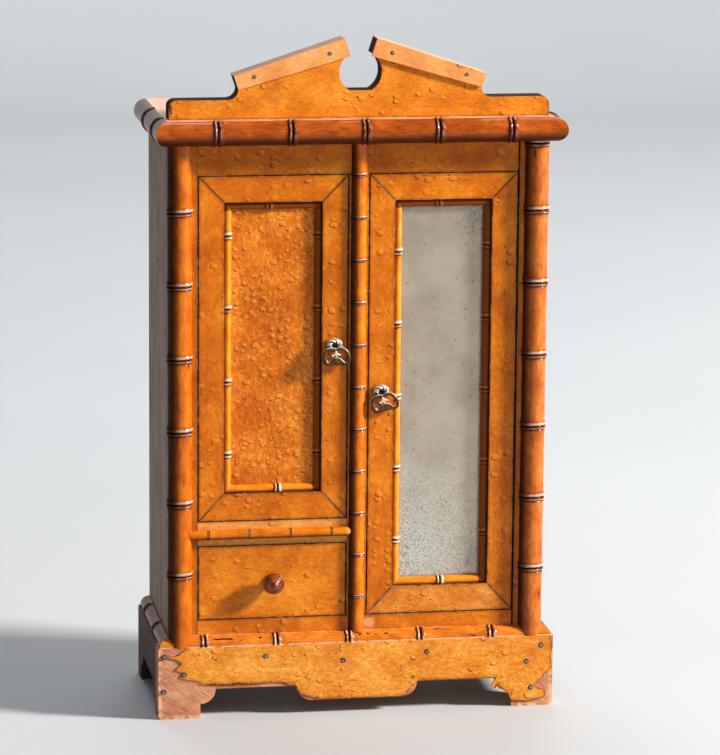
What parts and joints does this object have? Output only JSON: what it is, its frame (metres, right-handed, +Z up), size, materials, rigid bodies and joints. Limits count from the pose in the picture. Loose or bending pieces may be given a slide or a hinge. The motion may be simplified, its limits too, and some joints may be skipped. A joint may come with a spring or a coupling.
{
  "type": "thimble display case",
  "caption": "Miniature armoire-shaped case for a thimble collection: panel door over a drawer on the left, mirror door on the right, turned bamboo-style trim, broken pediment.",
  "frame": {"origin": "bottom centre of the whole piece, on the floor plane under the feet", "axes": "+X to the right as seen from the front, the doors face -Y, +Z up"},
  "size_m": [0.2988, 0.1414, 0.4958],
  "materials": {
    "plinth_front": "bare pinkish softwood, rough",
    "plinth_front_veneer": "old varnished bird's-eye maple veneer, honey orange",
    "plinth_left": "old varnished bird's-eye maple veneer, honey orange",
    "plinth_right": "old varnished bird's-eye maple veneer, honey orange",
    "plinth_back": "bare pinkish softwood, rough",
    "plinth_corner_blocks": "bare pinkish softwood, rough",
    "bottom_board": "plain unvarnished inside wood",
    "left_shelves": "plain unvarnished inside wood",
    "right_shelves": "plain unvarnished inside wood",
    "frieze_rail": "old varnished bird's-eye maple veneer, honey orange",
    "bottom_rail": "old varnished bird's-eye maple veneer, honey orange",
    "drawer_divider": "old varnished bird's-eye maple veneer, honey orange",
    "centre_stile": "old varnished bird's-eye maple veneer, honey orange",
    "centre_partition": "plain unvarnished inside wood",
    "left_stile": "old varnished bird's-eye maple veneer, honey orange",
    "right_stile": "old varnished bird's-eye maple veneer, honey orange",
    "left_side_panel": "dark stained board, dull",
    "right_side_panel": "dark stained board, dull",
    "back_panel": "bare pinkish softwood, rough",
    "door_pivot_pins": "dull steel",
    "drawer_guides": "plain unvarnished inside wood",
    "left_column": "turned faux bamboo, varnished red-brown, dark rings",
    "right_column": "turned faux bamboo, varnished red-brown, dark rings",
    "plinth_roll_front": "turned faux bamboo, varnished red-brown, dark rings",
    "plinth_roll_right": "turned faux bamboo, varnished red-brown, dark rings",
    "plinth_roll_left": "turned faux bamboo, varnished red-brown, dark rings",
    "centre_column": "turned faux bamboo, varnished red-brown, dark rings",
    "drawer_rail_roll": "turned faux bamboo, varnished red-brown, dark rings",
    "top_board": "bare pinkish softwood, rough",
    "cornice_roll_front": "turned faux bamboo, varnished red-brown, dark rings",
    "cornice_roll_right": "turned faux bamboo, varnished red-brown, dark rings",
    "cornice_roll_left": "turned faux bamboo, varnished red-brown, dark rings",
    "pediment_board": "old varnished bird's-eye maple veneer, honey orange",
    "pediment_rake_right": "old varnished bird's-eye maple veneer, honey orange",
    "pediment_rake_left": "old varnished bird's-eye maple veneer, honey orange",
    "nails": "blackened iron nail heads",
    "left_door_hinge_stile": "old varnished bird's-eye maple veneer, honey orange",
    "left_door_lock_stile": "old varnished bird's-eye maple veneer, honey orange",
    "left_door_top_rail": "old varnished bird's-eye maple veneer, honey orange",
    "left_door_bottom_rail": "old varnished bird's-eye maple veneer, honey orange",
    "left_door_panel": "old varnished bird's-eye maple veneer, honey orange",
    "left_door_beads": "turned faux bamboo, varnished red-brown, dark rings",
    "left_pull_mount": "aged brass, dark in the hollows",
    "left_pull_drop": "aged brass, dark in the hollows",
    "right_door_hinge_stile": "old varnished bird's-eye maple veneer, honey orange",
    "right_door_lock_stile": "old varnished bird's-eye maple veneer, honey orange",
    "right_door_top_rail": "old varnished bird's-eye maple veneer, honey orange",
    "right_door_bottom_rail": "old varnished bird's-eye maple veneer, honey orange",
    "mirror_glass": "old foxed mirror",
    "mirror_backboard": "bare pinkish softwood, rough",
    "right_door_beads": "turned faux bamboo, varnished red-brown, dark rings",
    "right_pull_mount": "aged brass, dark in the hollows",
    "right_pull_drop": "aged brass, dark in the hollows",
    "drawer_front": "old varnished bird's-eye maple veneer, honey orange",
    "drawer_left_side": "plain unvarnished inside wood",
    "drawer_right_side": "plain unvarnished inside wood",
    "drawer_back": "plain unvarnished inside wood",
    "drawer_bottom": "plain unvarnished inside wood",
    "drawer_knob": "turned knob, dark brown varnish"
  },
  "bodies": {
    "case": {"plinth_front": "plinth_front", "plinth_front_veneer": "plinth_front_veneer", "plinth_left": "plinth_left", "plinth_right": "plinth_right", "plinth_back": "plinth_back", "plinth_corner_blocks": "plinth_corner_blocks", "bottom_board": "bottom_board", "left_shelves": "left_shelves", "right_shelves": "right_shelves", "frieze_rail": "frieze_rail", "bottom_rail": "bottom_rail", "drawer_divider": "drawer_divider", "centre_stile": "centre_stile", "centre_partition": "centre_partition", "left_stile": "left_stile", "right_stile": "right_stile", "left_side_panel": "left_side_panel", "right_side_panel": "right_side_panel", "back_panel": "back_panel", "door_pivot_pins": "door_pivot_pins", "drawer_guides": "drawer_guides", "left_column": "left_column", "right_column": "right_column", "plinth_roll_front": "plinth_roll_front", "plinth_roll_right": "plinth_roll_right", "plinth_roll_left": "plinth_roll_left", "centre_column": "centre_column", "drawer_rail_roll": "drawer_rail_roll", "top_board": "top_board", "cornice_roll_front": "cornice_roll_front", "cornice_roll_right": "cornice_roll_right", "cornice_roll_left": "cornice_roll_left", "pediment_board": "pediment_board", "pediment_rake_right": "pediment_rake_right", "pediment_rake_left": "pediment_rake_left", "nails": "nails"},
    "left_door": {"left_door_hinge_stile": "left_door_hinge_stile", "left_door_lock_stile": "left_door_lock_stile", "left_door_top_rail": "left_door_top_rail", "left_door_bottom_rail": "left_door_bottom_rail", "left_door_panel": "left_door_panel", "left_door_beads": "left_door_beads", "left_pull_mount": "left_pull_mount"},
    "right_door": {"right_door_hinge_stile": "right_door_hinge_stile", "right_door_lock_stile": "right_door_lock_stile", "right_door_top_rail": "right_door_top_rail", "right_door_bottom_rail": "right_door_bottom_rail", "right_door_beads": "right_door_beads", "mirror_glass": "mirror_glass", "mirror_backboard": "mirror_backboard", "right_pull_mount": "right_pull_mount"},
    "drawer": {"drawer_front": "drawer_front", "drawer_left_side": "drawer_left_side", "drawer_right_side": "drawer_right_side", "drawer_back": "drawer_back", "drawer_bottom": "drawer_bottom", "drawer_knob": "drawer_knob"},
    "left_drop": {"left_pull_drop": "left_pull_drop"},
    "right_drop": {"right_pull_drop": "right_pull_drop"}
  },
  "joints": [
    {"name": "left_door_hinge", "type": "hinge", "parent": "case", "child": "left_door", "pos_m": [-0.1125, -0.04895, 0.2716], "axis": [0, 0, -1], "range_deg": [0, 100]},
    {"name": "right_door_hinge", "type": "hinge", "parent": "case", "child": "right_door", "pos_m": [0.1125, -0.04895, 0.235], "axis": [0, 0, 1], "range_deg": [0, 100]},
    {"name": "drawer_slide", "type": "slide", "parent": "case", "child": "drawer", "axis": [0, -1, 0], "range_m": [0, 0.085]},
    {"name": "left_drop_hinge", "type": "hinge", "parent": "left_door", "child": "left_drop", "pos_m": [-0.01725, -0.05485, 0.2708], "axis": [-1, 0, 0], "range_deg": [-8, 85]},
    {"name": "right_drop_hinge", "type": "hinge", "parent": "right_door", "child": "right_drop", "pos_m": [0.01725, -0.05485, 0.2358], "axis": [-1, 0, 0], "range_deg": [-8, 85]}
  ]
}
